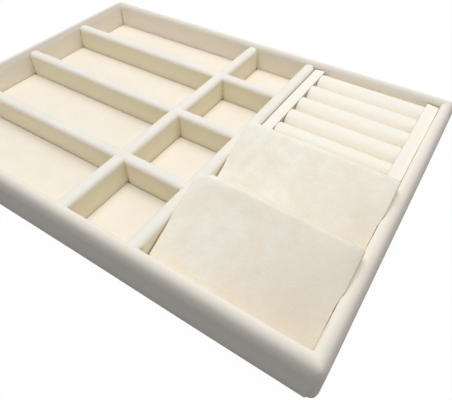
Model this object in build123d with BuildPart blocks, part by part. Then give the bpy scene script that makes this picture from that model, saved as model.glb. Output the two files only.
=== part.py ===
"""Jewelry tray: velvet-wrapped walls, partitions and dividers on a base board, with a lift-out
ring insert and two lift-out padded ramps in the right bay.

Millimetres. The origin is the centre of the footprint on the surface that the tray stands on,
+X to the right along the tray, +Y to the back, +Z up.
"""

import os

from build123d import *

os.makedirs("parts", exist_ok=True)

# Plan of the tray
wall = 11.0                 # outer wall over its velvet, on all four sides
divider = 9.6               # partition or divider over its velvet
long_cell = 158.6           # clear length of a long compartment
square_cell = 47.0          # clear length of a square compartment
bay_length = 104.7          # clear length of the right bay
front_cell_depth = 48.5     # clear depth of the front row
cell_depth = 50.4           # clear depth of each row behind it
rows_behind = 3
corner_radius = 6.0         # rounded outer corner, in plan

# Heights and layers
tray_height = 26.5          # surface to wall tops
lining = 0.6                # cloth glued under the base
base = 3.0                  # base board
floor_pad = 2.9             # padded card on the floor of a compartment
bay_lining = 0.8            # velvet card on the floor of the bay
cover = 1.5                 # foam-backed velvet on the side of a board
crown = 3.5                 # padding over the top edge of a board
wall_shoulder = 5.0         # rounding along a wall's top
divider_shoulder = 3.8      # rounding along a divider's top
end_shoulder = 3.2          # rounding of a divider's top where it meets a wall
cope = 3.0                  # reach of a partition's top over the front wall's shoulder
pad_rounding = 0.8          # rounded top edge of a floor pad
pad_gap = 0.2               # floor pad to the walls round it

# Lift-out pieces
rest_gap = 0.3              # under a piece that lies on the bay's floor
left_gap = 0.8              # between the right partition and a piece that lifts out
right_gap = 0.3             # between that piece and the right wall
front_gap = 0.6             # between the front wall and the front ramp
finger_gap = 11.7           # between the rear ramp and the ring insert, to lift either out

# Ring insert
roll_count = 5
roll_pitch = 19.3           # roll to roll, where their sides press together
roll_radius = 10.0
roll_height = 18.3          # insert board to the top of a roll
sleeve = 1.0                # velvet round a roll's foam
insert_board = 2.0
rail = 9.2                  # width of a side rail
rail_inner_height = 18.6    # insert board to the rail's top beside the rolls
rail_outer_height = 17.6    # insert board to the rail's top beside the bay's side
rail_setback = 1.0          # rail's back end short of the board's back edge
rail_rounding = 1.3

# Ramps
ramp_front_height = 8.7     # underside to the top of the front edge
ramp_back_height = 36.0     # underside to where the slope would meet the back
ramp_crown = 1.0            # swell of the padded slope over its middle
ridge_radius = 5.0
ramp_edge = 1.5             # rounding of the cover's other upper edges
ramp_card = 1.2             # card under the foam
ramp_cover = 1.6            # padded cloth on the foam's sides
ramp_gap = 0.4              # between the two ramps

# Sizes that follow from these
row_pitch = cell_depth + divider
inner_length = long_cell + divider + square_cell + divider + bay_length
inner_depth = front_cell_depth + rows_behind * row_pitch
tray_length = inner_length + 2 * wall
tray_depth = inner_depth + 2 * wall
base_top = lining + base
board_top = tray_height - crown
inner_left = -inner_length / 2
inner_front = -inner_depth / 2
left_partition_x = inner_left + long_cell
square_left = left_partition_x + divider
right_partition_x = square_left + square_cell
bay_left = right_partition_x + divider
inner_back = inner_front + inner_depth
second_row_front = inner_front + front_cell_depth + divider
row_fronts = [inner_front] + [second_row_front + row_pitch * n for n in range(rows_behind)]
row_depths = [front_cell_depth] + [cell_depth] * rows_behind
insert_low = base_top + bay_lining + rest_gap
insert_top = insert_low + insert_board
insert_left = bay_left + left_gap
insert_length = bay_length - left_gap - right_gap
insert_depth = roll_count * roll_pitch
insert_back = inner_back - rest_gap
insert_front = insert_back - insert_depth
ramp_depth = (insert_front - finger_gap - inner_front - front_gap - ramp_gap) / 2


def keep(piece, node):
    """Label a finished piece and write its file."""
    piece.part.label = node
    export_step(piece.part, f"parts/{node}.step")


def slab(x, y, length, depth, low, height, rounding=0.0):
    """A flat rectangular layer with its corner at x, y, rounded along its top edge if asked."""
    with BuildPart() as layer:
        with BuildSketch(Plane.XY.offset(low)):
            with Locations((x, y)):
                Rectangle(length, depth, align=(Align.MIN, Align.MIN))
        extrude(amount=height)
        if rounding:
            fillet(layer.edges().group_by(Axis.Z)[-1], rounding)
    return layer


# Base: board and the cloth under it, both inside the walls' velvet
with BuildPart() as base_board:
    with BuildSketch(Plane.XY.offset(lining)):
        RectangleRounded(tray_length - 2 * cover, tray_depth - 2 * cover, corner_radius - cover)
    extrude(amount=base)
keep(base_board, "base_board")

with BuildPart() as bottom_lining:
    with BuildSketch():
        RectangleRounded(tray_length - 2 * cover, tray_depth - 2 * cover, corner_radius - cover)
    extrude(amount=lining)
keep(bottom_lining, "bottom_lining")

# Outer frame: one ring of velvet and one of board, each cut at its mitres into four walls.
# The velvet folds over the board's top, down both its sides and over the edge of the base board.
with BuildPart() as velvet_ring:
    with BuildSketch():
        RectangleRounded(tray_length, tray_depth, corner_radius)
    extrude(amount=tray_height)
    fillet(velvet_ring.edges().group_by(Axis.Z)[-1], wall_shoulder)
    with BuildSketch(Plane.XY.offset(base_top)):
        Rectangle(inner_length, inner_depth)
    extrude(amount=tray_height, mode=Mode.SUBTRACT)
    fillet(velvet_ring.faces().sort_by(Axis.Z)[-1].inner_wires()[0].edges(), wall_shoulder)
    with BuildSketch():
        RectangleRounded(tray_length - 2 * cover, tray_depth - 2 * cover, corner_radius - cover)
    extrude(amount=base_top, mode=Mode.SUBTRACT)
    with BuildSketch(Plane.XY.offset(base_top)):
        RectangleRounded(tray_length - 2 * cover, tray_depth - 2 * cover, corner_radius - cover)
        Rectangle(inner_length + 2 * cover, inner_depth + 2 * cover, mode=Mode.SUBTRACT)
    extrude(amount=board_top - base_top, mode=Mode.SUBTRACT)

with BuildPart() as board_ring:
    with BuildSketch(Plane.XY.offset(base_top)):
        RectangleRounded(tray_length - 2 * cover, tray_depth - 2 * cover, corner_radius - cover)
        Rectangle(inner_length + 2 * cover, inner_depth + 2 * cover, mode=Mode.SUBTRACT)
    extrude(amount=board_top - base_top)


def mitred(ring, side_x, side_y):
    """One wall of a ring: the side towards side_x or side_y, cut at 45 degrees at both ends."""
    half_length = tray_length / 2
    half_depth = tray_depth / 2
    if side_y:
        far = (half_length, side_y * half_depth)
        near = (half_length - wall, side_y * (half_depth - wall))
        corners = [far, (-far[0], far[1]), (-near[0], near[1]), near]
    else:
        far = (side_x * half_length, half_depth)
        near = (side_x * (half_length - wall), half_depth - wall)
        corners = [far, (far[0], -far[1]), (near[0], -near[1]), near]
    with BuildPart() as side:
        add(ring.part)
        with BuildSketch():
            with BuildLine():
                Polyline(*corners, close=True)
            make_face()
        extrude(amount=tray_height, mode=Mode.INTERSECT)
    return side


for side_name, side_x, side_y in (("front", 0, -1), ("back", 0, 1), ("left", -1, 0), ("right", 1, 0)):
    keep(mitred(velvet_ring, side_x, side_y), f"{side_name}_wall_cover")
    keep(mitred(board_ring, side_x, side_y), f"{side_name}_wall_board")


def bar_cover(x, y, length, depth, wall_ends):
    """Velvet over a partition or divider: open below, over a board, with a rounded padded top.
    The top is rounded down too at the ends that meet a wall: 0 the low end, -1 the high one."""
    along_x = length > depth
    run = Axis.X if along_x else Axis.Y
    channel_length = length if along_x else divider - 2 * cover
    channel_depth = divider - 2 * cover if along_x else depth
    with BuildPart() as bar:
        with BuildSketch(Plane.XY.offset(base_top)):
            with Locations((x, y)):
                Rectangle(length, depth, align=(Align.MIN, Align.MIN))
        extrude(amount=tray_height - base_top)
        top = bar.edges().group_by(Axis.Z)[-1]
        fillet(top.filter_by(run), divider_shoulder)
        for end in wall_ends:
            end_face = bar.faces().filter_by(run).sort_by(run)[end]
            end_edges = end_face.edges().filter_by(lambda e: e.center().Z > tray_height - divider_shoulder)
            fillet(end_edges, end_shoulder)
        with BuildSketch(Plane.XY.offset(base_top)):
            with Locations((x + length / 2, y + depth / 2)):
                Rectangle(channel_length, channel_depth)
        extrude(amount=board_top - base_top, mode=Mode.SUBTRACT)
    return bar


def bar_board(x, y, length, depth):
    """The board inside a partition or divider."""
    side = cover if length > depth else 0
    end = 0 if length > depth else cover
    return slab(x + end, y + side, length - 2 * end, depth - 2 * side, base_top, board_top - base_top)


# Partitions run from the front wall to the back wall, their tops coped over the front wall's shoulder
for bar_name, bar_x in (("left", left_partition_x), ("right", right_partition_x)):
    with BuildPart() as partition:
        add(bar_cover(bar_x, inner_front - cope, divider, inner_depth + cope, (-1,)).part)
        add(velvet_ring.part, mode=Mode.SUBTRACT)
        add(board_ring.part, mode=Mode.SUBTRACT)
    keep(partition, f"{bar_name}_partition_cover")
    keep(bar_board(bar_x, inner_front, divider, inner_depth), f"{bar_name}_partition_board")

# Dividers stand in line behind the first three rows, long ones left of the left partition
for number, (row_front, row_depth) in enumerate(zip(row_fronts[:-1], row_depths[:-1]), start=1):
    divider_y = row_front + row_depth
    long_cover = bar_cover(inner_left, divider_y, long_cell, divider, (0,))
    keep(long_cover, f"long_divider_cover_{number}")
    keep(bar_board(inner_left, divider_y, long_cell, divider), f"long_divider_board_{number}")
    short_cover = bar_cover(square_left, divider_y, square_cell, divider, ())
    keep(short_cover, f"short_divider_cover_{number}")
    keep(bar_board(square_left, divider_y, square_cell, divider), f"short_divider_board_{number}")

# Floor pads, and the plain velvet floor of the bay
for number, (row_front, row_depth) in enumerate(zip(row_fronts, row_depths), start=1):
    cells = (("long", inner_left, long_cell), ("square", square_left, square_cell))
    for pad_name, cell_left, cell_length in cells:
        pad = slab(
            cell_left + pad_gap,
            row_front + pad_gap,
            cell_length - 2 * pad_gap,
            row_depth - 2 * pad_gap,
            base_top,
            floor_pad,
            pad_rounding,
        )
        keep(pad, f"{pad_name}_pad_{number}")

bay_floor = slab(
    bay_left + pad_gap,
    inner_front + pad_gap,
    bay_length - 2 * pad_gap,
    inner_depth - 2 * pad_gap,
    base_top,
    bay_lining,
)
keep(bay_floor, "bay_lining")

# Ring insert: a board, two side rails with tops that slope down to the outside, and soft rolls.
# A roll is round on top, flat where it is glued down and flat where it presses on the next one.
insert_base = slab(insert_left, insert_front, insert_length, insert_depth, insert_low, insert_board)
keep(insert_base, "ring_insert_board")

rail_length = insert_depth - rail_setback
for rail_name, outer_x, inward in (("left", insert_left, 1), ("right", insert_left + insert_length, -1)):
    inner_x = outer_x + inward * rail
    with BuildPart() as side_rail:
        with BuildSketch(Plane.XZ.offset(-(insert_back - rail_setback))):
            with BuildLine():
                Polyline(
                    (outer_x, insert_top),
                    (inner_x, insert_top),
                    (inner_x, insert_top + rail_inner_height),
                    (outer_x, insert_top + rail_outer_height),
                    close=True,
                )
            make_face()
        extrude(amount=rail_length)
        top_edges = side_rail.edges().filter_by(Axis.Y).group_by(Axis.Z)[1:]
        fillet([e for group in top_edges for e in group], rail_rounding)
    keep(side_rail, f"{rail_name}_ring_rail")

roll_left = insert_left + rail
roll_length = insert_length - 2 * rail
roll_axis_height = insert_top + roll_height - roll_radius


def roll_face(y, inset):
    """The end view of the roll at y, drawn in by inset all round."""
    with BuildSketch(Plane.YZ.offset(roll_left)) as face:
        with Locations((y, roll_axis_height)):
            Circle(roll_radius - inset)
        with Locations((y, insert_top + inset)):
            width = roll_pitch - 2 * inset
            Rectangle(width, 2 * roll_radius, align=(Align.CENTER, Align.MIN), mode=Mode.INTERSECT)
    return face.sketch


for number in range(1, roll_count + 1):
    roll_y = insert_back - roll_pitch * (number - 1 / 2)
    with BuildPart() as roll_core:
        extrude(roll_face(roll_y, sleeve), amount=roll_length)
    keep(roll_core, f"ring_roll_core_{number}")
    with BuildPart() as roll_sleeve:
        extrude(roll_face(roll_y, 0), amount=roll_length)
        add(roll_core.part, mode=Mode.SUBTRACT)
    keep(roll_sleeve, f"ring_roll_sleeve_{number}")

# Ramps: a wedge of foam on a card, in padded cloth that leaves only the card bare underneath.
# The slope is crowned from front to back, and the cloth rounds the ridge and the other upper edges.

def wedge_face(x, front, inset, swell):
    """The ramp's side view at x, drawn in by inset all round, its slope bowed up by swell."""
    slope = (ramp_back_height - ramp_front_height) / ramp_depth
    drop = inset * (slope**2 + 1) ** 0.5
    near = front + inset
    far = front + ramp_depth - inset
    near_top = insert_low + ramp_front_height + slope * inset - drop
    far_top = insert_low + ramp_back_height - slope * inset - drop
    with BuildSketch(Plane.YZ.offset(x)) as face:
        with BuildLine():
            Polyline((near, near_top), (near, insert_low), (far, insert_low), (far, far_top))
            if swell:
                SagittaArc((near, near_top), (far, far_top), swell)
            else:
                Line((near, near_top), (far, far_top))
        make_face()
    return face.sketch


front_ramp_y = inner_front + front_gap
rear_ramp_y = front_ramp_y + ramp_depth + ramp_gap
for ramp_name, ramp_y in (("front", front_ramp_y), ("rear", rear_ramp_y)):
    with BuildPart() as ramp_foam:
        foam_face = wedge_face(insert_left + ramp_cover, ramp_y, ramp_cover, 0)
        extrude(foam_face, amount=insert_length - 2 * ramp_cover)
        fillet(ramp_foam.edges().filter_by(Axis.X).sort_by(Axis.Z)[-1], ridge_radius - ramp_cover)
        split(bisect_by=Plane.XY.offset(insert_low + ramp_card), keep=Keep.TOP)
    keep(ramp_foam, f"{ramp_name}_ramp_core")

    card = slab(
        insert_left + ramp_cover,
        ramp_y + ramp_cover,
        insert_length - 2 * ramp_cover,
        ramp_depth - 2 * ramp_cover,
        insert_low,
        ramp_card,
    )
    keep(card, f"{ramp_name}_ramp_card")

    with BuildPart() as ramp_cloth:
        extrude(wedge_face(insert_left, ramp_y, 0, ramp_crown), amount=insert_length)
        fillet(ramp_cloth.edges().group_by(Axis.Z)[-1], ridge_radius)
        end_edges = ramp_cloth.faces().filter_by(Axis.X).edges()
        front_face = ramp_cloth.faces().filter_by(Axis.Y).sort_by(Axis.Y)[0]
        rounded = end_edges.filter_by(lambda e: e.center().Z > insert_low + ramp_card)
        fillet(rounded + [front_face.edges().sort_by(Axis.Z)[-1]], ramp_edge)
        add(ramp_foam.part, mode=Mode.SUBTRACT)
        add(card.part, mode=Mode.SUBTRACT)
    keep(ramp_cloth, f"{ramp_name}_ramp_cover")
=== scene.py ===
import math

import bmesh
import bpy
from mathutils import Matrix, Vector, noise


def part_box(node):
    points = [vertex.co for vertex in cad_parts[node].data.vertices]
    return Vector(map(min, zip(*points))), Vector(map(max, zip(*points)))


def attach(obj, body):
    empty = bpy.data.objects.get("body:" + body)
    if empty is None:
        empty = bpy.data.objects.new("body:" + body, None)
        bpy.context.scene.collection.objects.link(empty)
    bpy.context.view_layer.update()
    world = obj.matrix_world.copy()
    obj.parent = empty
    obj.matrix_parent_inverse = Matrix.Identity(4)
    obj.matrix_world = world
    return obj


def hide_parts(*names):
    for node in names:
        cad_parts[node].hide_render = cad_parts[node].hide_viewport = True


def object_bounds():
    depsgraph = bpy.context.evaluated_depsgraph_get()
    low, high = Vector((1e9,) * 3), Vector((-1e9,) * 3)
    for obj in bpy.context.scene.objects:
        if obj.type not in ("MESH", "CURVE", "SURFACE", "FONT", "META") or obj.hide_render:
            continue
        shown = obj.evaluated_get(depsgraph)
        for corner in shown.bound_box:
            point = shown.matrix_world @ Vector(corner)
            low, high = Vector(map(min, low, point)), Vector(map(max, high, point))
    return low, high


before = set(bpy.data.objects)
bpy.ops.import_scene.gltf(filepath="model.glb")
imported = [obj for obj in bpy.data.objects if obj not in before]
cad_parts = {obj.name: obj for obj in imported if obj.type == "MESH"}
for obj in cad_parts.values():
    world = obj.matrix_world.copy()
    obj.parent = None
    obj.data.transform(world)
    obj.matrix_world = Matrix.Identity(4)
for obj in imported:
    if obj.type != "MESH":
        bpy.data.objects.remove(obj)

mm = 0.001
noDistance = 1e-9          # millimetres up to which two points are one
loadedBounds = [[round(v, 6) for v in corner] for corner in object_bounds()]
half = Vector(loadedBounds[1]) / mm          # half the tray's length and depth, in millimetres
noise.seed_set(4)          # the cloth's unevenness is the same in every run


# small helpers

def linear(hexColour):
    values = [int(hexColour[i:i + 2], 16) / 255 for i in (1, 3, 5)]
    return tuple(v / 12.92 if v <= 0.04045 else ((v + 0.055) / 1.055) ** 2.4 for v in values) + (1.0,)


def addNode(tree, kind, settings=None, inputs=None):
    node = tree.nodes.new(kind)
    for key, value in (settings or {}).items():
        setattr(node, key, value)
    for key, value in (inputs or {}).items():
        if isinstance(value, bpy.types.NodeSocket):
            tree.links.new(value, node.inputs[key])
        else:
            node.inputs[key].default_value = value
    return node


def nodeBox(node):
    low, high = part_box(node)
    return low / mm, high / mm          # in millimetres, as the rest of this script


def smooth(low, high, value):
    t = min(1.0, max(0.0, (value - low) / (high - low)))
    return t * t * (3 - 2 * t)


def between(table, value):          # the height at a place, eased from one row of the table to the next
    for (a, low), (b, high) in zip(table, table[1:]):
        if value <= b:
            return low + (high - low) * smooth(a, b, value)
    return table[-1][1]


def arc(centre, radius, start, stop, steps):
    angles = [math.radians(start + (stop - start) * i / steps) for i in range(steps + 1)]
    return [(centre[0] + radius * math.cos(a), centre[1] + radius * math.sin(a)) for a in angles]


def straight(first, last, steps):
    return [tuple(a + (b - a) * i / steps for a, b in zip(first, last)) for i in range(1, steps)]


def soften(point, reach, grain, lift):
    wave = noise.noise_vector(Vector(point) / grain)
    return Vector(point) + wave * reach * lift


def cleanMesh(mesh, apart, sharp):
    work = bmesh.new()
    work.from_mesh(mesh)
    bmesh.ops.remove_doubles(work, verts=work.verts, dist=apart)
    bmesh.ops.recalc_face_normals(work, faces=work.faces)
    work.to_mesh(mesh)
    work.free()
    mesh.shade_smooth()
    mesh.set_sharp_from_angle(angle=math.radians(sharp))


def declare(name, mesh, body, replaced, slot, fill):
    piece = bpy.data.objects.new(name, mesh)
    bpy.context.scene.collection.objects.link(piece)
    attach(piece, body)
    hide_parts(*replaced)


def makePiece(name, points, faces, material, body, replaced, slot, fill=None, sharp=40):
    mesh = bpy.data.meshes.new(name)
    mesh.from_pydata([Vector(p) * mm for p in points], [], faces)
    cleanMesh(mesh, apart=0.01 * mm, sharp=sharp)
    mesh.materials.append(material)
    declare(name, mesh, body, replaced, slot, fill)


def sweepFaces(stations, around):          # stations are closed loops of as many points each
    faces = []
    for i in range(stations - 1):
        for j in range(around):
            k = (j + 1) % around
            faces.append((i * around + j, i * around + k, (i + 1) * around + k, (i + 1) * around + j))
    return faces


# the outer walls' sizes in millimetres, which the velvet's shading uses too; a pair is where a change starts
# and where it is complete
walls = {
    "width": 11.0, "top": 26.5, "boardTop": 23.0, "base": 3.6, "cloth": 1.5,
    "spacing": 4.0, "closeRuns": (0.0, 0.4, 0.9),                   # rows of points along a wall and at its ends
    "shoulder": 5.0, "innerShoulder": 2.6,                          # roundings of the top, outside and inside
    "rightFill": 0.65, "rightFillOver": (2.0, 14.0),                # share of the inner rounding that foam fills
    "cornerRadius": 6.0, "innerRadius": 0.5, "softCorner": 12.0, "softCornerOver": (19.0, 27.0),
    "crease": 1.1, "creaseEnds": (20.0, 23.0), "creaseTurn": (20.0, 45.0),      # heights, then degrees
    "pulledIn": 0.8, "pulledInBack": 0.4, "pulledInBackFrom": 40.0, "pulledReach": 6.0,
    "fuller": 0.9, "fullerFrom": -20.0, "fullerInset": 50.0, "fullerBack": (20.0, 8.0), "fullerAbove": 10.0,
    "footSwell": 0.42, "footSwellRight": 0.4, "footRightOver": (0.0, 120.0), "footReach": (6.0, 1.0),
    "footHeight": (2.0, 15.0),
    "unevenMm": 0.2, "unevenEvery": 32.0, "unevenOver": (6.0, 22.0),
}

# materials

white = (1.0, 1.0, 1.0, 1.0)


def emptyMaterial(name):
    material = bpy.data.materials.new(name)
    material.use_nodes = True
    material.node_tree.nodes.clear()
    return material, material.node_tree


def makeNappedCloth(name, look):          # sockets 6 and 7 of a mixing node are its two colours
    material, tree = emptyMaterial(name)
    place = addNode(tree, "ShaderNodeTexCoord").outputs["Object"]
    patches, strokes, pile = [addNode(tree, "ShaderNodeTexNoise", None, {
        "Vector": place, "Scale": 1 / (look[size] * mm), "Detail": detail, "Roughness": roughness,
        "Distortion": distortion}).outputs[0] for size, detail, roughness, distortion in (
            ("patchMm", 3.0, 0.55, 0.6), ("strokeMm", 2.0, 0.6, 0.0), ("pileMm", 2.0, 0.7, 0.0))]
    spread = addNode(tree, "ShaderNodeMapRange", None, {0: patches, 1: 0.35, 2: 0.65, 3: 0.0, 4: 1.0})
    patched = addNode(tree, "ShaderNodeMix", {"data_type": "RGBA"}, {
        0: spread.outputs[0], 6: linear(look["laidNap"]), 7: linear(look["raisedNap"])})
    strokeSpread = addNode(tree, "ShaderNodeMapRange", None, {
        0: strokes, 1: 0.42, 2: 0.72, 3: 0.0, 4: look["strokeShare"]})
    stroked = addNode(tree, "ShaderNodeMix", {"data_type": "RGBA"}, {
        0: strokeSpread.outputs[0], 6: patched.outputs[2], 7: linear(look["strokeNap"])})
    # painted shade: faces that turn away from up take the side colour in place of the nap's own
    facing = addNode(tree, "ShaderNodeSeparateXYZ", None, {
        0: addNode(tree, "ShaderNodeNewGeometry").outputs["Normal"]})
    upward = addNode(tree, "ShaderNodeMapRange", None, {0: facing.outputs[2], 1: 0.1, 2: 0.8, 3: 0.0, 4: 1.0})
    sideShaded = addNode(tree, "ShaderNodeMix", {"data_type": "RGBA"}, {
        0: upward.outputs[0], 6: linear(look["sideShadeNap"]), 7: stroked.outputs[2]})
    # painted shade: a greyer colour, by place, beyond a line along each given direction
    if "paintedShadeFrom" in look:
        across = []
        for way, start in look["paintedShadeFrom"]:
            along = addNode(tree, "ShaderNodeVectorMath", {"operation": "DOT_PRODUCT"}, {0: place, 1: way})
            across.append(addNode(tree, "ShaderNodeMath", {"operation": "SUBTRACT"}, {
                0: along.outputs["Value"], 1: start * mm}).outputs[0])
        most = addNode(tree, "ShaderNodeMath", {"operation": "MAXIMUM"}, {0: across[0], 1: across[-1]})
        shadeShare = addNode(tree, "ShaderNodeMapRange", {"interpolation_type": "SMOOTHSTEP"}, {
            0: most.outputs[0], 1: 0.0, 2: look["paintedShadeOver"] * mm, 3: 0.0, 4: look["paintedShadeMost"]})
        shadeColour = addNode(tree, "ShaderNodeMix", {"data_type": "RGBA"}, {
            0: upward.outputs[0], 6: linear(look["paintedShadeSideNap"]), 7: linear(look["paintedShadeNap"])})
        sideShaded = addNode(tree, "ShaderNodeMix", {"data_type": "RGBA"}, {
            0: shadeShare.outputs[0], 6: sideShaded.outputs[2], 7: shadeColour.outputs[2]})
    pileSpread = addNode(tree, "ShaderNodeMapRange", None, {
        0: pile, 1: 0.3, 2: 0.7, 3: 1.0 - look["pileContrast"], 4: 1.0})
    grey = addNode(tree, "ShaderNodeCombineColor", None, {i: pileSpread.outputs[0] for i in range(3)})
    piled = addNode(tree, "ShaderNodeMix", {"data_type": "RGBA", "blend_type": "MULTIPLY"}, {
        0: 1.0, 6: sideShaded.outputs[2], 7: grey.outputs[0]})
    bump = addNode(tree, "ShaderNodeBump", None, {
        "Height": pile, "Strength": look["bumpStrength"], "Distance": look["bumpMm"] * mm})
    shader = addNode(tree, "ShaderNodeBsdfPrincipled", None, {
        "Base Color": piled.outputs[2], "Roughness": look["roughness"], "Specular IOR Level": look["specular"],
        "Sheen Weight": look["sheen"], "Sheen Roughness": look["sheenRoughness"],
        "Sheen Tint": linear(look["sheenTint"]), "Normal": bump.outputs[0]})
    addNode(tree, "ShaderNodeOutputMaterial", None, {"Surface": shader.outputs[0]})
    return material


# Knitted polyester velvet with a cut pile under 1 mm: it takes light evenly, with lighter and darker nap in
# random patches. Painted shade: sides take a warmer colour than tops, and some walls a greyer one where their
# tops lean away from the lamps. The pile is too fine to show, so it is drawn twice as coarse. "paintedShadeFrom"
# lists directions, each with the millimetres along it where the painted shade starts, and "paintedShadeOver" is
# how far it takes to get to "paintedShadeMost".
velvetLook = {
    "laidNap": "#F5F0E5", "raisedNap": "#F9F4EA", "strokeNap": "#F2ECE0", "strokeShare": 0.3,
    "sideShadeNap": "#F5ECD2",
    "patchMm": 30.0, "strokeMm": 8.0, "pileMm": 1.3, "pileContrast": 0.04,
    "bumpMm": 0.25, "bumpStrength": 0.25, "roughness": 0.95, "specular": 0.15,
    "sheen": 0.25, "sheenRoughness": 0.45, "sheenTint": "#FFFAF2", "paintedShadeMost": 1.0,
}
# the rails' sides take a dark painted shade, which stands for the shadow in the valleys between the rolls
railVelvet = makeNappedCloth("cutPileVelvetOnRails", {
    **velvetLook, "laidNap": "#FDF7EA", "raisedNap": "#FEF9EE", "strokeNap": "#FBF4E5", "sideShadeNap": "#C6BBA1"})
# painted shade: greyer over the outer rims of the right and front walls, which lean away from the lamps
wallVelvet = makeNappedCloth("cutPileVelvetOnWalls", {
    **velvetLook, "laidNap": "#F9F1E4", "raisedNap": "#FBF4E8", "strokeNap": "#F6EDDF", "sideShadeNap": "#F6EEDF",
    "paintedShadeNap": "#B6AFA6", "paintedShadeSideNap": "#E0D9CF", "paintedShadeOver": 10.0,
    "paintedShadeFrom": [
        ((1, 0, 0), half.x - walls["width"] + 1.5), ((0, -1, 0), half.y - walls["width"] + 0.8)]})
# painted shade: greyer over the left wall's top from 3.6 mm in, where it turns towards the inside
leftVelvet = makeNappedCloth("cutPileVelvetOnLeftWall", {
    **velvetLook, "sideShadeNap": "#F6EEDF", "paintedShadeNap": "#D3CABB", "paintedShadeSideNap": "#F2EADB",
    "paintedShadeOver": 5.0, "paintedShadeFrom": [((1, 0, 0), 3.6 - half.x)]})
# painted shade: greyer over the back wall's inner rounding, which leans away from the lamps
backVelvet = makeNappedCloth("cutPileVelvetOnBackWall", {
    **velvetLook, "laidNap": "#FAF4E9", "raisedNap": "#FCF7ED", "paintedShadeNap": "#DFD7C9",
    "paintedShadeSideNap": "#F8EFE0", "paintedShadeOver": 6.5, "paintedShadeFrom": [((0, -1, 0), 2.5 - half.y)]})
barVelvet = makeNappedCloth("cutPileVelvetOnDividers", velvetLook)
padVelvet = makeNappedCloth("cutPileVelvetOnPads", {
    **velvetLook, "laidNap": "#F6EEDF", "raisedNap": "#F9F1E3", "strokeNap": "#F4EBDB", "strokeShare": 0.2})
rollVelvet = makeNappedCloth("cutPileVelvetOnRolls", {
    **velvetLook, "laidNap": "#FFF9EB", "raisedNap": "#FFFAEE", "strokeNap": "#FDF6E6", "sideShadeNap": "#FAF0DB",
    "sheen": 0.5, "sheenTint": "#FFF4DE"})

# Brushed polyester suede, its nap rubbed up by hand into soft patches of lighter and darker cloth, with painted
# shade that darkens it towards the front right
rampSuede = makeNappedCloth("brushedSuedeCloth", {
    **velvetLook, "laidNap": "#FCF3E1", "raisedNap": "#FFFCF0", "strokeNap": "#F6EDDA", "strokeShare": 0.4,
    "paintedShadeNap": "#E2D4C0", "paintedShadeSideNap": "#E2D7C6", "paintedShadeMost": 0.6,
    "paintedShadeOver": 130.0, "paintedShadeFrom": [((0.8, -0.6, 0), 80.0)],
    "sideShadeNap": "#F0E8DA", "patchMm": 21.0, "strokeMm": 6.0, "pileMm": 1.1, "pileContrast": 0.06,
    "sheen": 0.35})


def makeBoard(name, look):
    material, tree = emptyMaterial(name)
    place = addNode(tree, "ShaderNodeTexCoord").outputs["Object"]
    flecks = addNode(tree, "ShaderNodeTexNoise", None, {
        "Vector": place, "Scale": 1 / (look["fleckMm"] * mm), "Detail": 4.0, "Roughness": 0.7})
    tone = addNode(tree, "ShaderNodeMix", {"data_type": "RGBA"}, {
        0: flecks.outputs[0], 6: linear(look["dark"]), 7: linear(look["light"])})
    bump = addNode(tree, "ShaderNodeBump", None, {
        "Height": flecks.outputs[0], "Strength": 0.3, "Distance": 0.1 * mm})
    shader = addNode(tree, "ShaderNodeBsdfPrincipled", None, {
        "Base Color": tone.outputs[2], "Roughness": look["roughness"], "Normal": bump.outputs[0]})
    addNode(tree, "ShaderNodeOutputMaterial", None, {"Surface": shader.outputs[0]})
    return material


# Fibreboard pressed from wood fibre, bare: fine brown flecks and no grain
fibreboard = makeBoard("pressedFibreboard", {
    "dark": "#7A5C3C", "light": "#A68660", "fleckMm": 1.2, "roughness": 0.8})
# Grey card made from waste paper, with paler fibres in it
greyCard = makeBoard("greyPaperCard", {
    "dark": "#8E8A80", "light": "#B4AFA4", "fleckMm": 0.9, "roughness": 0.9})


waveMm = 0.314          # a wave texture's length of wave at a scale of 1


def makeLiningCloth(name, look):
    material, tree = emptyMaterial(name)
    place = addNode(tree, "ShaderNodeTexCoord").outputs["Object"]
    threads = [addNode(tree, "ShaderNodeTexWave", {"bands_direction": way, "wave_profile": "SIN"}, {
        "Vector": place, "Scale": waveMm / (look["threadMm"] * mm), "Distortion": 0.4}).outputs["Fac"]
        for way in ("X", "Y")]
    weave = addNode(tree, "ShaderNodeMath", {"operation": "MULTIPLY"}, {0: threads[0], 1: threads[1]})
    tone = addNode(tree, "ShaderNodeMix", {"data_type": "RGBA"}, {
        0: weave.outputs[0], 6: linear(look["gap"]), 7: linear(look["thread"])})
    bump = addNode(tree, "ShaderNodeBump", None, {
        "Height": weave.outputs[0], "Strength": 0.4, "Distance": 0.15 * mm})
    shader = addNode(tree, "ShaderNodeBsdfPrincipled", None, {
        "Base Color": tone.outputs[2], "Roughness": 0.92, "Normal": bump.outputs[0]})
    addNode(tree, "ShaderNodeOutputMaterial", None, {"Surface": shader.outputs[0]})
    return material


# Plain-woven polyester lining, glued flat under the base: even threads, drawn at 1.2 mm so that they show
liningCloth = makeLiningCloth("plainWovenLining", {"thread": "#D9CFBC", "gap": "#B7AB94", "threadMm": 1.2})
print("materials made")

# outer walls: foam-backed velvet over four mitred boards, one closed channel for each wall

sideSteps, roundSteps, topSteps = 7, 8, 3          # straight and rounded parts of a wall's section


def channelLoop(width, shoulder, innerShoulder, cloth, low, outerLow, top, boardTop):
    loop = [(0, outerLow)] + straight((0, outerLow), (0, top - shoulder), sideSteps)
    loop += arc((shoulder, top - shoulder), shoulder, 180, 90, roundSteps)
    loop += straight((shoulder, top), (width - innerShoulder, top), topSteps)
    loop += arc((width - innerShoulder, top - innerShoulder), innerShoulder, 90, 0, roundSteps)
    loop += straight((width, top - innerShoulder), (width, low), sideSteps)
    loop += [(width, low), (width - cloth, low), (width - cloth, boardTop), (cloth, boardTop)]
    return loop + [(cloth, outerLow)]


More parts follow.
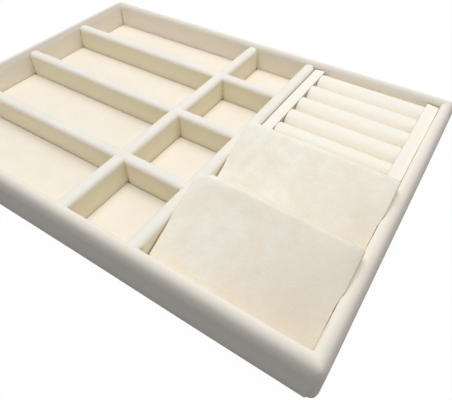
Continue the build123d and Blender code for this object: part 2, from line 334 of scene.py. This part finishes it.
def uneven(point):
    x, y, z = point
    pull = walls["pulledIn"] + walls["pulledInBack"] * smooth(walls["pulledInBackFrom"], half.y, y)
    x -= pull * smooth(half.x - walls["pulledReach"], half.x, x)          # cloth pulled tight on the right side
    backStart, backEnd = [half.y - inset for inset in walls["fullerBack"]]
    fuller = smooth(walls["fullerFrom"], half.x - walls["fullerInset"], x) * smooth(backStart, backEnd, y)
    z += walls["fuller"] * fuller * smooth(walls["fullerAbove"], walls["top"], z)     # fuller at the back right
    footStart, footEnd = [half.y - inset for inset in walls["footReach"]]
    footSwell = walls["footSwell"] + walls["footSwellRight"] * smooth(*walls["footRightOver"], x)
    footSwell *= smooth(footStart, footEnd, -y) * (1 - smooth(*walls["footHeight"], z))
    y -= footSwell                                                        # standing off at the front's foot
    softer = (walls["softCorner"] - walls["cornerRadius"]) * smooth(*walls["softCornerOver"], z)
    radius = walls["cornerRadius"] + softer                               # rounder corners towards the top
    fromCentre = Vector((max(0.0, abs(x) - half.x + radius), max(0.0, abs(y) - half.y + radius)))
    if min(fromCentre) > 0 and fromCentre.length > radius:
        spare = fromCentre * (1 - radius / fromCentre.length)
        x -= math.copysign(spare.x, x)
        y -= math.copysign(spare.y, y)
    return soften((x, y, z), walls["unevenMm"], walls["unevenEvery"], smooth(*walls["unevenOver"], z))


def wallVelvetPiece(side, turn):
    halfLength, halfDepth = (half.y, half.x) if turn % 2 else (half.x, half.y)
    loop = channelLoop(walls["width"], walls["shoulder"], walls["innerShoulder"], walls["cloth"],
                       walls["base"], 0.0, walls["top"], walls["boardTop"])
    runSteps = round(2 * halfLength / walls["spacing"])
    runEnd = [v / halfLength for v in walls["closeRuns"]]
    stations = [("near", a) for a in range(225, 270, 9)]          # degrees round a corner, or shares of the run
    stations += [("run", v) for v in runEnd + [i / runSteps for i in range(1, runSteps)]]
    stations += [("run", 1 - v) for v in reversed(runEnd)]
    stations += [("far", a) for a in range(279, 316, 9)]
    spin = Matrix.Rotation(math.radians(90 * turn), 3, "Z")
    points = []
    for kind, value in stations:
        clear = 2 * halfLength * min(value, 1 - value) - walls["width"] if kind == "run" else 0.0
        fill = walls["rightFill"] * smooth(*walls["rightFillOver"], clear) if side == "right" else 0.0
        for d, z in loop:
            nearing = (d - walls["width"]) / walls["innerShoulder"] + 1
            rising = (z - walls["top"]) / walls["innerShoulder"] + 1
            if nearing > 0 and rising > 0:
                push = 2 * nearing * rising * fill
                d, z = d + (walls["width"] - d) * push, z + (walls["top"] - z) * push
            radius = max(walls["cornerRadius"] - d, walls["innerRadius"])
            inset = d + radius
            if kind == "run":
                x = (halfLength - inset) * (2 * value - 1)
                y = -halfDepth + d
            else:
                angle = math.radians(value)
                way = -1 if kind == "near" else 1
                inner = smooth(walls["width"] - 1.0, walls["width"], d) * (1 - smooth(*walls["creaseEnds"], z))
                deep = radius + walls["crease"] * inner * smooth(*walls["creaseTurn"], abs(value - 270))
                x = way * (halfLength - inset) + deep * math.cos(angle)
                y = -halfDepth + inset + deep * math.sin(angle)
            points.append(uneven(spin @ Vector((x, y, z))))
    count = len(loop)
    faces = sweepFaces(len(stations), count)
    faces += [tuple(range(count)), tuple((len(stations) - 1) * count + j for j in range(count))]
    velvet = {"back": backVelvet, "left": leftVelvet}.get(side, wallVelvet)
    makePiece(side + "WallVelvet", points, faces, velvet, "tray",
              [side + "_wall_cover"], "velvet", sharp=50)


for turn, side in enumerate(("front", "right", "back", "left")):
    wallVelvetPiece(side, turn)
print("outer walls padded")

# partitions and dividers: the same velvet over narrower boards, drawn in at their ends

bars = {
    "shoulder": 3.4, "cloth": 1.5, "boardTop": 23.0, "base": 3.6, "top": 26.5, "spacing": 3.0,
    "endDrop": 1.0, "endReach": 3.8, "endPinch": 3.0, "endHeight": 9.0,           # round ends, at a wall
    "crease": 1.2, "creaseReach": 2.6, "creaseEnds": (22.0, 25.0),                # drawn in at every end
}


def barVelvetPiece(name, node, alongX, ends):
    low, high = nodeBox(node)
    if ends[0] == "overWall":
        low.y = -half.y + walls["width"]
    length = (high.x - low.x) if alongX else (high.y - low.y)
    width = (high.y - low.y) if alongX else (high.x - low.x)
    top = bars["top"]
    loop = channelLoop(width, bars["shoulder"], bars["shoulder"], bars["cloth"],
                       bars["base"], bars["base"], top, bars["boardTop"])
    reach = bars["endReach"]
    closeRun = [reach * (1 - math.cos(math.radians(a))) for a in range(0, 91, 10)]
    middleSteps = max(2, round((length - 2 * reach) / bars["spacing"]))
    middle = [reach + (length - 2 * reach) * i / middleSteps for i in range(1, middleSteps)]
    runs = closeRun + middle + [length - s for s in reversed(closeRun)]
    points = []
    for s in runs:
        nearEnd = s < length / 2
        end = ends[0] if nearEnd else ends[1]
        gap = s if nearEnd else length - s
        over = walls["innerShoulder"] if end == "overWall" else bars["shoulder"]
        for d, z in loop:
            centring = 1 - d / (width / 2)
            crease = (1 - smooth(0.0, bars["creaseReach"], gap)) * (1 - smooth(*bars["creaseEnds"], z))
            u, w = s, d + centring * bars["crease"] * crease
            if end == "round" and gap < reach:
                fall = 1 - math.sqrt(max(0.0, 1 - (1 - gap / reach) ** 2))
                upper = smooth(top - bars["endHeight"], top, z)
                z = z - bars["endDrop"] * fall * upper
                w += centring * bars["endPinch"] * fall * upper
            if end != "round" and z > top - over:
                cope = over - math.sqrt(max(0.0, over ** 2 - (z - top + over) ** 2))
                cope *= 1 - smooth(0.0, reach, gap)
                u = s - cope if nearEnd else s + cope
            u, w = (u, w) if alongX else (w, u)
            points.append(uneven((low.x + u, low.y + w, z)))
    count = len(loop)
    faces = sweepFaces(len(runs), count)
    faces += [tuple(range(count)), tuple((len(runs) - 1) * count + j for j in range(count))]
    makePiece(name, points, faces, barVelvet, "tray", [node], "velvet", sharp=50)


for side in ("left", "right"):
    barVelvetPiece(side + "PartitionVelvet", side + "_partition_cover", False, ("overWall", "round"))
for number in (1, 2, 3):
    for kind, ends in (("long", ("round", "overBar")), ("short", ("overBar", "overBar"))):
        barVelvetPiece(f"{kind}DividerVelvet{number}", f"{kind}_divider_cover_{number}", True, ends)
print("partitions and dividers padded")

# floor pads: velvet wrapped over card, with a thin wadding that swells a little

pads = {"edge": 1.1, "step": 4.0, "swell": 0.35, "unevenMm": 0.12, "unevenEvery": 22.0}
bayFloor = {"edge": 0.4, "step": 6.0, "swell": 0.0}
edgeShares = (0.0, 0.35, 0.7)          # rows of points across a rounded edge


def softBlock(low, high, edge, step, swell):
    def ticks(a, b, roundLow, roundHigh):
        start = a + edge if roundLow else a
        stop = b - edge if roundHigh else b
        count = max(1, round((stop - start) / step))
        values = [a + edge * f for f in edgeShares] if roundLow else []
        values += [start + (stop - start) * i / count for i in range(count + 1)]
        return values + ([b - edge * f for f in edgeShares[::-1]] if roundHigh else [])

    axes = [ticks(low[n], high[n], n < 2, True) for n in range(3)]
    sizes = [len(a) for a in axes]
    points, index, faces = [], {}, []

    def corner(key):
        if key not in index:
            p = Vector([axes[n][key[n]] for n in range(3)])
            inner = Vector((
                min(max(p.x, low.x + edge), high.x - edge),
                min(max(p.y, low.y + edge), high.y - edge),
                min(p.z, high.z - edge)))
            away = p - inner
            if away.length > noDistance:
                p = inner + away.normalized() * edge
            u = 2 * (p.x - low.x) / (high.x - low.x) - 1
            v = 2 * (p.y - low.y) / (high.y - low.y) - 1
            lift = smooth(low.z, high.z, p.z)
            p.z += swell * (1 - u ** 6) * (1 - v ** 6) * lift
            index[key] = len(points)
            points.append(soften(p, pads["unevenMm"], pads["unevenEvery"], lift))
        return index[key]

    for axis in range(3):
        a, b = [n for n in range(3) if n != axis]
        for level in (0, sizes[axis] - 1):
            for i in range(sizes[a] - 1):
                for j in range(sizes[b] - 1):
                    ring = []
                    for di, dj in ((0, 0), (1, 0), (1, 1), (0, 1)):
                        key = [0, 0, 0]
                        key[axis], key[a], key[b] = level, i + di, j + dj
                        ring.append(corner(tuple(key)))
                    faces.append(tuple(ring))
    return points, faces


for number in (1, 2, 3, 4):
    for kind in ("long", "square"):
        low, high = nodeBox(f"{kind}_pad_{number}")
        points, faces = softBlock(low, high, pads["edge"], pads["step"], pads["swell"])
        makePiece(f"{kind}Pad{number}", points, faces, padVelvet, "tray",
                  [f"{kind}_pad_{number}"], "velvet", 0.3)
low, high = nodeBox("bay_lining")
points, faces = softBlock(low, high, bayFloor["edge"], bayFloor["step"], bayFloor["swell"])
makePiece("bayFloorVelvet", points, faces, padVelvet, "tray", ["bay_lining"], "velvet")
print("floor pads laid")

# outline of a section with rounded corners, as points with their outward normals

arcStep = 0.7                                    # millimetres from point to point round a corner
capShares = (0.86, 0.7, 0.52, 0.34, 0.17)        # rings that close a piece's end
sameLevel = 1e-6                                 # millimetres above a piece's bottom that still belong to it


def roundedOutline(corners, radii, step):
    outline = []
    count = len(corners)
    for i in range(count):
        here, before, after = (Vector(corners[k % count]) for k in (i, i - 1, i + 1))
        inWay, outWay = (here - before).normalized(), (after - here).normalized()
        inNormal, outNormal = Vector((inWay.y, -inWay.x)), Vector((outWay.y, -outWay.x))
        radius = radii[i]
        if radius:
            turn = inWay.angle(outWay)
            middle = here - inWay * radius * math.tan(turn / 2) - inNormal * radius
            steps = max(3, round(radius * turn / arcStep))
            start = math.atan2(inNormal.y, inNormal.x)
            for k in range(steps + 1):
                angle = start + turn * k / steps
                normal = Vector((math.cos(angle), math.sin(angle)))
                outline.append((middle + normal * radius, normal))
        else:
            outline.append((here, inNormal + outNormal))
        following, beyond = (Vector(corners[(i + k) % count]) for k in (1, 2))
        nextTurn = (following - here).normalized().angle((beyond - following).normalized())
        stop = following - outWay * radii[(i + 1) % count] * math.tan(nextTurn / 2)
        first = outline[-1][0]
        pieces = max(1, round((stop - first).length / step))
        outline += [(first + (stop - first) * k / pieces, outNormal) for k in range(1, pieces)]
    return outline


def loftPiece(name, outline, length, endRadius, step, place, shape, *rest, **more):
    bottom = min(p.y for p, normal in outline)
    closeRun = [endRadius * (1 - math.cos(math.radians(a))) for a in range(0, 91, 15)]
    middleSteps = max(2, round((length - 2 * endRadius) / step))
    middle = [endRadius + (length - 2 * endRadius) * i / middleSteps for i in range(1, middleSteps)]
    runs = closeRun + middle + [length - s for s in reversed(closeRun)]
    loops = []
    for s in runs:
        gap = min(s, length - s)
        inset = 0.0
        if gap < endRadius:
            inset = endRadius - math.sqrt(max(0.0, endRadius ** 2 - (endRadius - gap) ** 2))
        loop = []
        for p, normal in outline:
            n = Vector((normal.x, 0.0 if p.y < bottom + sameLevel else normal.y))
            loop.append((s, p - n * inset))
        loops.append(loop)
    for endLoops, order in ((loops[0], 0), (loops[-1], 1)):
        middleOf = sum((p for s, p in endLoops), Vector((0, 0))) / len(endLoops)
        caps = [[(s, middleOf + (p - middleOf) * share) for s, p in endLoops] for share in capShares]
        loops = loops + caps if order else caps[::-1] + loops
    count = len(outline)
    points = [shape(place(s, p)) for loop in loops for s, p in loop]
    faces = sweepFaces(len(loops), count)
    for start in (0, (len(loops) - 1) * count):
        middleOf = sum((Vector(p) for p in points[start:start + count]), Vector((0, 0, 0))) / count
        points.append(middleOf)
        faces += [(start + j, start + (j + 1) % count, len(points) - 1) for j in range(count)]
    makePiece(name, points, faces, *rest, **more)


# ring insert: two padded rails whose tops fall to the outside, and five soft rolls

rails = {
    "innerHeight": 18.6, "outerHeight": 17.6, "innerEdge": 0.5, "outerEdge": 0.8, "endEdge": 0.8, "step": 4.0,
    "swell": 0.15, "swellHeight": (15.5, 17.5),                                     # outwards, above the board
    "undercut": 0.4, "undercutFrom": 0.6, "undercutLow": (0.0, 4.0), "undercutHigh": (17.4, 18.5),
    "unevenMm": 0.1, "unevenEvery": 18.0, "unevenOver": (0.0, 6.0),
}
boardTop = nodeBox("ring_insert_board")[1].z
for side, inward in (("left", 1), ("right", -1)):
    low, high = nodeBox(side + "_ring_rail")
    outerX = low.x if inward > 0 else high.x
    width = high.x - low.x
    corners = [(0, boardTop), (width, boardTop), (width, boardTop + rails["innerHeight"]),
               (0, boardTop + rails["outerHeight"])]
    outline = roundedOutline(corners, (0, 0, rails["innerEdge"], rails["outerEdge"]), rails["step"])

    def place(s, p, outerX=outerX, inward=inward, low=low):
        return Vector((outerX + inward * p.x, low.y + s, p.y))

    def shape(point, outerX=outerX, inward=inward, width=width):
        across, height = abs(point.x - outerX), point.z - boardTop
        under = smooth(rails["undercutFrom"] * width, width, across) * smooth(*rails["undercutLow"], height)
        under *= 1 - smooth(*rails["undercutHigh"], height)
        outside = (1 - smooth(0.0, width / 2, across)) * smooth(*rails["swellHeight"], height)
        point.x -= inward * (rails["undercut"] * under + rails["swell"] * outside)
        return soften(point, rails["unevenMm"], rails["unevenEvery"], smooth(*rails["unevenOver"], height))

    loftPiece(side + "RailVelvet", outline, high.y - low.y, rails["endEdge"], rails["step"], place, shape,
              railVelvet, "ring_insert", [side + "_ring_rail"], "velvet", 0.5, sharp=60)
print("ring rails made")

# One roll grows from a line: it is round on top, pressed flat by its neighbours and where it is glued down,
# and it draws in a little at its ends.
rolls = {
    "Roll Radius": 10.0, "Pressed Front": -9.62, "Pressed Back": 9.62, "Glued Level": -8.3,
    "End Rounding": 0.8, "End Draw": 0.15, "Uneven": 0.35, "Uneven Every": 21.0,
}
rollPoints = {"along": 171, "around": 72}


def makeRollTree():
    tree = bpy.data.node_groups.new("ringRollTree", "GeometryNodeTree")
    tree.is_modifier = True
    sockets = {}
    kinds = {name: "Float" for name in ("Roll Length", *rolls)}
    kinds.update({"Roll Start": "Vector", "Velvet": "Material"})
    for name, kind in kinds.items():
        socket = tree.interface.new_socket(name=name, in_out="INPUT", socket_type="NodeSocket" + kind)
        sockets[name] = socket.identifier
    tree.interface.new_socket(name="Geometry", in_out="OUTPUT", socket_type="NodeSocketGeometry")
    given = addNode(tree, "NodeGroupInput").outputs
    endPoint = addNode(tree, "ShaderNodeCombineXYZ", None, {0: given["Roll Length"]})
    line = addNode(tree, "GeometryNodeCurvePrimitiveLine", None, {"End": endPoint.outputs[0]})
    line = addNode(tree, "GeometryNodeResampleCurve", None, {
        "Curve": line.outputs[0], "Count": rollPoints["along"]})
    along = addNode(tree, "GeometryNodeSplineParameter").outputs["Length"]
    drawn = addNode(tree, "ShaderNodeMath", {"operation": "SUBTRACT"}, {
        0: given["Roll Radius"], 1: given["End Draw"]})
    farStart = addNode(tree, "ShaderNodeMath", {"operation": "SUBTRACT"}, {
        0: given["Roll Length"], 1: given["End Rounding"]})
    nearEnd = addNode(tree, "ShaderNodeMapRange", {"interpolation_type": "SMOOTHSTEP"}, {
        0: along, 1: 0.0, 2: given["End Rounding"], 3: drawn.outputs[0], 4: given["Roll Radius"]})
    farEnd = addNode(tree, "ShaderNodeMapRange", {"interpolation_type": "SMOOTHSTEP"}, {
        0: along, 1: farStart.outputs[0], 2: given["Roll Length"], 3: given["Roll Radius"], 4: drawn.outputs[0]})
    radius = addNode(tree, "ShaderNodeMath", {"operation": "MINIMUM"}, {
        0: nearEnd.outputs[0], 1: farEnd.outputs[0]})
    ring = addNode(tree, "GeometryNodeCurvePrimitiveCircle", {"mode": "RADIUS"}, {
        "Resolution": rollPoints["around"], "Radius": 1.0})
    tube = addNode(tree, "GeometryNodeCurveToMesh", None, {
        "Curve": line.outputs[0], "Profile Curve": ring.outputs[0], "Scale": radius.outputs[0],
        "Fill Caps": True})
    where = addNode(tree, "GeometryNodeInputPosition")
    apart = addNode(tree, "ShaderNodeSeparateXYZ", None, {0: where.outputs[0]})
    side = addNode(tree, "ShaderNodeClamp", None, {
        0: apart.outputs[1], 1: given["Pressed Front"], 2: given["Pressed Back"]})
    height = addNode(tree, "ShaderNodeMath", {"operation": "MAXIMUM"}, {
        0: apart.outputs[2], 1: given["Glued Level"]})
    pressed = addNode(tree, "ShaderNodeCombineXYZ", None, {
        0: apart.outputs[0], 1: side.outputs[0], 2: height.outputs[0]})
    tube = addNode(tree, "GeometryNodeSetPosition", None, {
        "Geometry": tube.outputs[0], "Position": pressed.outputs[0]})
    placed = addNode(tree, "ShaderNodeVectorMath", {"operation": "ADD"}, {
        0: where.outputs[0], 1: given["Roll Start"]})
    often = addNode(tree, "ShaderNodeMath", {"operation": "DIVIDE"}, {0: 1.0, 1: given["Uneven Every"]})
    wave = addNode(tree, "ShaderNodeTexNoise", None, {
        "Vector": placed.outputs[0], "Scale": often.outputs[0], "Detail": 1.0})
    centred = addNode(tree, "ShaderNodeVectorMath", {"operation": "SUBTRACT"}, {
        0: wave.outputs["Color"], 1: (0.5, 0.5, 0.5)})
    lift = addNode(tree, "ShaderNodeMapRange", None, {
        0: apart.outputs[2], 1: 0.0, 2: given["Roll Radius"], 3: 0.0, 4: given["Uneven"]})
    offset = addNode(tree, "ShaderNodeVectorMath", {"operation": "SCALE"}, {
        0: centred.outputs[0], 3: lift.outputs[0]})
    for kind, inputs in (
        ("GeometryNodeSetPosition", {"Offset": offset.outputs[0]}),
        ("GeometryNodeTransform", {"Translation": given["Roll Start"]}),
        ("GeometryNodeRealizeInstances", {}),
        ("GeometryNodeSetMaterial", {"Material": given["Velvet"]}),
        ("NodeGroupOutput", {}),
    ):
        tube = addNode(tree, kind, None, {"Geometry": tube.outputs[0], **inputs})
    return tree, sockets


rollTree, rollSockets = makeRollTree()
for number in range(1, 6):
    sleeve, core = f"ring_roll_sleeve_{number}", f"ring_roll_core_{number}"
    low, high = nodeBox(sleeve)
    grown = bpy.data.objects.new(f"rollSource{number}", bpy.data.meshes.new(f"rollSource{number}"))
    bpy.context.scene.collection.objects.link(grown)
    modifier = grown.modifiers.new("roll", "NODES")
    modifier.node_group = rollTree
    for name, value in rolls.items():
        modifier[rollSockets[name]] = value * mm
    modifier[rollSockets["Roll Length"]] = (high.x - low.x) * mm
    modifier[rollSockets["Roll Start"]] = (
        low.x * mm, (low.y + high.y) / 2 * mm, (high.z - rolls["Roll Radius"]) * mm)
    modifier[rollSockets["Velvet"]] = rollVelvet
    ready = grown.evaluated_get(bpy.context.evaluated_depsgraph_get())
    mesh = bpy.data.meshes.new_from_object(ready)
    bpy.data.objects.remove(grown)
    cleanMesh(mesh, apart=0.001 * mm, sharp=45)
    mesh.name = f"ringRoll{number}"
    declare(mesh.name, mesh, "ring_insert", [sleeve, core], "velvet", 0.9)
print("ring rolls grown")

# ramps: suede cloth drawn over a foam wedge, whose ridge stands above the walls and swells over the right one

ramps = {
    "frontHeight": 8.7, "backHeight": 36.0, "ridge": 4.0, "frontEdge": 2.0, "endEdge": 0.5, "step": 1.6,
    "lift": 0.6, "unevenMm": 0.45, "unevenEvery": 19.0, "unevenOver": (1.0, 8.0), "unevenEnds": 0.3,
    "swell": 1.1, "swellWay": (0, -0.41, 0.91), "swellUnder": (6.0, 0.5), "swellBack": (0.93, 1.0),
    "ending": (0.46, 0.5),                          # share of the length, from the middle, that counts as an end
    "endSwell": 1.2, "endSwellOver": (22.5, 30.5),                                  # at the left end
    "leftDraw": 1.2, "leftDrawBack": (0.84, 1.0), "leftDrawOver": (22.5, 33.0),
    "overWall": {"front": 1.2, "rear": 1.1}, "overWallOver": (26.3, 28.8),          # at the right end
    "intoRounding": 0.3, "intoRoundingOver": (26.5, 28.5), "roundingShare": 0.97,
    "endRound": 6.5, "endDrop": {"front": 0.3, "rear": 0.18}, "endDropAbove": 0.5,
    "ridgeBack": (0.5, 1.0), "ridgeOver": (20.0, 36.0),
    "ridgeRise": {                                  # shares of the length from the left, with millimetres there
        "front": ((0.0, -1.5), (0.09, 1.9), (0.28, 2.4), (0.57, 1.5), (0.86, 0.2), (1.0, -0.4)),
        "rear": ((0.0, -0.6), (0.08, 0.6), (0.28, 0.1), (0.72, -0.4), (0.9, -0.8), (1.0, -0.8)),
    },
}
for side in ("front", "rear"):
    low, high = nodeBox(side + "_ramp_cover")
    depth, length = high.y - low.y, high.x - low.x
    base = low.z
    corners = [(0, base + ramps["lift"]), (depth, base + ramps["lift"]), (depth, base + ramps["backHeight"]),
               (0, base + ramps["frontHeight"])]
    outline = roundedOutline(corners, (0, 0, ramps["ridge"], ramps["frontEdge"]), ramps["step"])

    def place(s, p, low=low):
        return Vector((low.x + s, low.y + p.x, p.y))

    def shape(point, low=low, depth=depth, length=length, over=ramps["overWall"][side],
              drop=ramps["endDrop"][side], rises=ramps["ridgeRise"][side]):
        a = min(1.0, max(0.0, (point.y - low.y) / depth))
        b = min(1.0, max(0.0, (point.x - low.x) / length))
        slopeTop = low.z + ramps["frontHeight"] + (ramps["backHeight"] - ramps["frontHeight"]) * a
        slopeStart, slopeEnd = [slopeTop - under for under in ramps["swellUnder"]]
        onSlope = smooth(slopeStart, slopeEnd, point.z) * (1 - smooth(*ramps["swellBack"], a))
        bulge = ramps["swell"] * onSlope * (1 - (2 * a - 1) ** 2) * (1 - (2 * b - 1) ** 4)
        point = point + Vector(ramps["swellWay"]) * bulge
        point.z += between(rises, b) * smooth(*ramps["ridgeBack"], a) ** 1.5 * smooth(*ramps["ridgeOver"], point.z)
        ending = smooth(*ramps["ending"], abs(b - 0.5))
        if b > 0.5:          # the right end droops, fills the wall's rounding and swells over its top
            nearing = max(0.0, 1 - (1 - b) * length / ramps["endRound"])
            above = max(0.0, point.z - walls["top"] - ramps["endDropAbove"])
            rise = 1 + (point.z - walls["top"]) / walls["innerShoulder"]
            rise = min(ramps["roundingShare"], max(0.0, rise))
            room = walls["innerShoulder"] * (1 - math.sqrt(1 - rise ** 2))
            room *= 1 - smooth(*ramps["intoRoundingOver"], point.z)
            point.z -= drop * nearing ** 2 * above
            swelling = over * smooth(*ramps["overWallOver"], point.z)
            point.x += ending * max(swelling, ramps["intoRounding"] * room)
        else:
            drawn = smooth(*ramps["leftDrawBack"], a) * smooth(*ramps["leftDrawOver"], point.z)
            swelling = ramps["endSwell"] * smooth(*ramps["endSwellOver"], point.z)
            point.x -= ending * (swelling - ramps["leftDraw"] * drawn)
        share = smooth(*ramps["unevenOver"], point.z - low.z) * (1 - (1 - ramps["unevenEnds"]) * ending)
        return soften(point, ramps["unevenMm"], ramps["unevenEvery"], share)

    loftPiece(side + "Ramp", outline, length, ramps["endEdge"], ramps["step"], place, shape,
              rampSuede, side + "_ramp", [side + "_ramp_cover", side + "_ramp_core"], "suede", 0.8, sharp=60)
print("ramps padded")

# the boards, cards and lining keep their own solids
finishes = {"bottom_lining": liningCloth, "ring_insert_board": rollVelvet}
for name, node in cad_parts.items():
    if node.hide_render:
        continue
    finish = greyCard if "card" in name else finishes.get(name, fibreboard)
    node.data.materials.clear()
    node.data.materials.append(finish)
print("boards finished")

# floor, lamps, world and camera

studio = {
    "floorGrey": "#9A9A9A", "floorShow": 0.97, "floorSize": 4.0, "paper": (0.9, 0.9, 0.9, 1.0),
    "ambient": 0.4, "ambientTint": "#F4F6FA",
}
lamps = {
    "overheadSoftbox": {"power": 11.6, "size": 1.2, "from": (0.0, 0.05, 1.6)},
    "nearBackSoftbox": {"power": 1.65, "size": 0.6, "from": (0.0, 0.3, 0.75)},
}


def directRays(tree):          # 1 for rays from the camera, also by way of gloss or glass
    rays = addNode(tree, "ShaderNodeLightPath").outputs
    direct = rays["Is Camera Ray"]
    for kind in ("Is Glossy Ray", "Is Transmission Ray"):
        direct = addNode(tree, "ShaderNodeMath", {"operation": "MAXIMUM"}, {0: direct, 1: rays[kind]}).outputs[0]
    return direct


floorMesh = bpy.data.meshes.new("studioFloor")
reach = studio["floorSize"] / 2
rim = [(-reach, -reach, 0), (reach, -reach, 0), (reach, reach, 0), (-reach, reach, 0)]
floorMesh.from_pydata(rim, [], [(0, 1, 2, 3)])
floor = bpy.data.objects.new("studioFloor", floorMesh)
bpy.context.scene.collection.objects.link(floor)
# Matt paper: white to the camera, and it holds a soft shadow
paper, tree = emptyMaterial("matPaperFloor")
glow = addNode(tree, "ShaderNodeEmission", None, {"Color": white, "Strength": 1.0})
matt = addNode(tree, "ShaderNodeBsdfDiffuse", None, {"Color": studio["paper"]})
shown = addNode(tree, "ShaderNodeMixShader", None, {0: studio["floorShow"], 1: matt.outputs[0], 2: glow.outputs[0]})
bounce = addNode(tree, "ShaderNodeBsdfDiffuse", None, {"Color": linear(studio["floorGrey"])})
mixed = addNode(tree, "ShaderNodeMixShader", None, {0: directRays(tree), 1: bounce.outputs[0], 2: shown.outputs[0]})
addNode(tree, "ShaderNodeOutputMaterial", None, {"Surface": mixed.outputs[0]})
floorMesh.materials.append(paper)

world = bpy.data.worlds.new("studioWorld")
bpy.context.scene.world = world
world.use_nodes = True
tree = world.node_tree
tree.nodes.clear()
ambient = addNode(tree, "ShaderNodeBackground", None, {
    "Color": linear(studio["ambientTint"]), "Strength": studio["ambient"]})
backdrop = addNode(tree, "ShaderNodeBackground", None, {"Color": white, "Strength": 1.0})
mixed = addNode(tree, "ShaderNodeMixShader", None, {
    0: directRays(tree), 1: ambient.outputs[0], 2: backdrop.outputs[0]})
addNode(tree, "ShaderNodeOutputWorld", None, {"Surface": mixed.outputs[0]})


def addLamp(name, power, size, place):
    lamp = bpy.data.lights.new(name, "AREA")
    lamp.shape = "DISK"
    lamp.energy = power
    lamp.size = size
    holder = bpy.data.objects.new(name, lamp)
    holder.location = place
    holder.rotation_euler = (-Vector(place)).to_track_quat("-Z", "Y").to_euler()
    bpy.context.scene.collection.objects.link(holder)


for name, lamp in lamps.items():
    addLamp(name, lamp["power"], lamp["size"], lamp["from"])

view = {
    "place": (0.17463, -0.20266, 0.21411), "tilt": 42.54, "roll": 0.0, "turn": 33.06,
    "lens": 33.45, "sensor": 36.0, "nearest": 0.005,
}
lens = bpy.data.cameras.new("productCamera")
lens.sensor_fit = "HORIZONTAL"
lens.sensor_width = view["sensor"]
lens.lens = view["lens"]
lens.clip_start = view["nearest"]
camera = bpy.data.objects.new("productCamera", lens)
camera.location = view["place"]
camera.rotation_euler = [math.radians(view[k]) for k in ("tilt", "roll", "turn")]
bpy.context.scene.collection.objects.link(camera)
bpy.context.scene.camera = camera
bpy.context.scene.view_settings.view_transform = "Standard"
print("studio set")
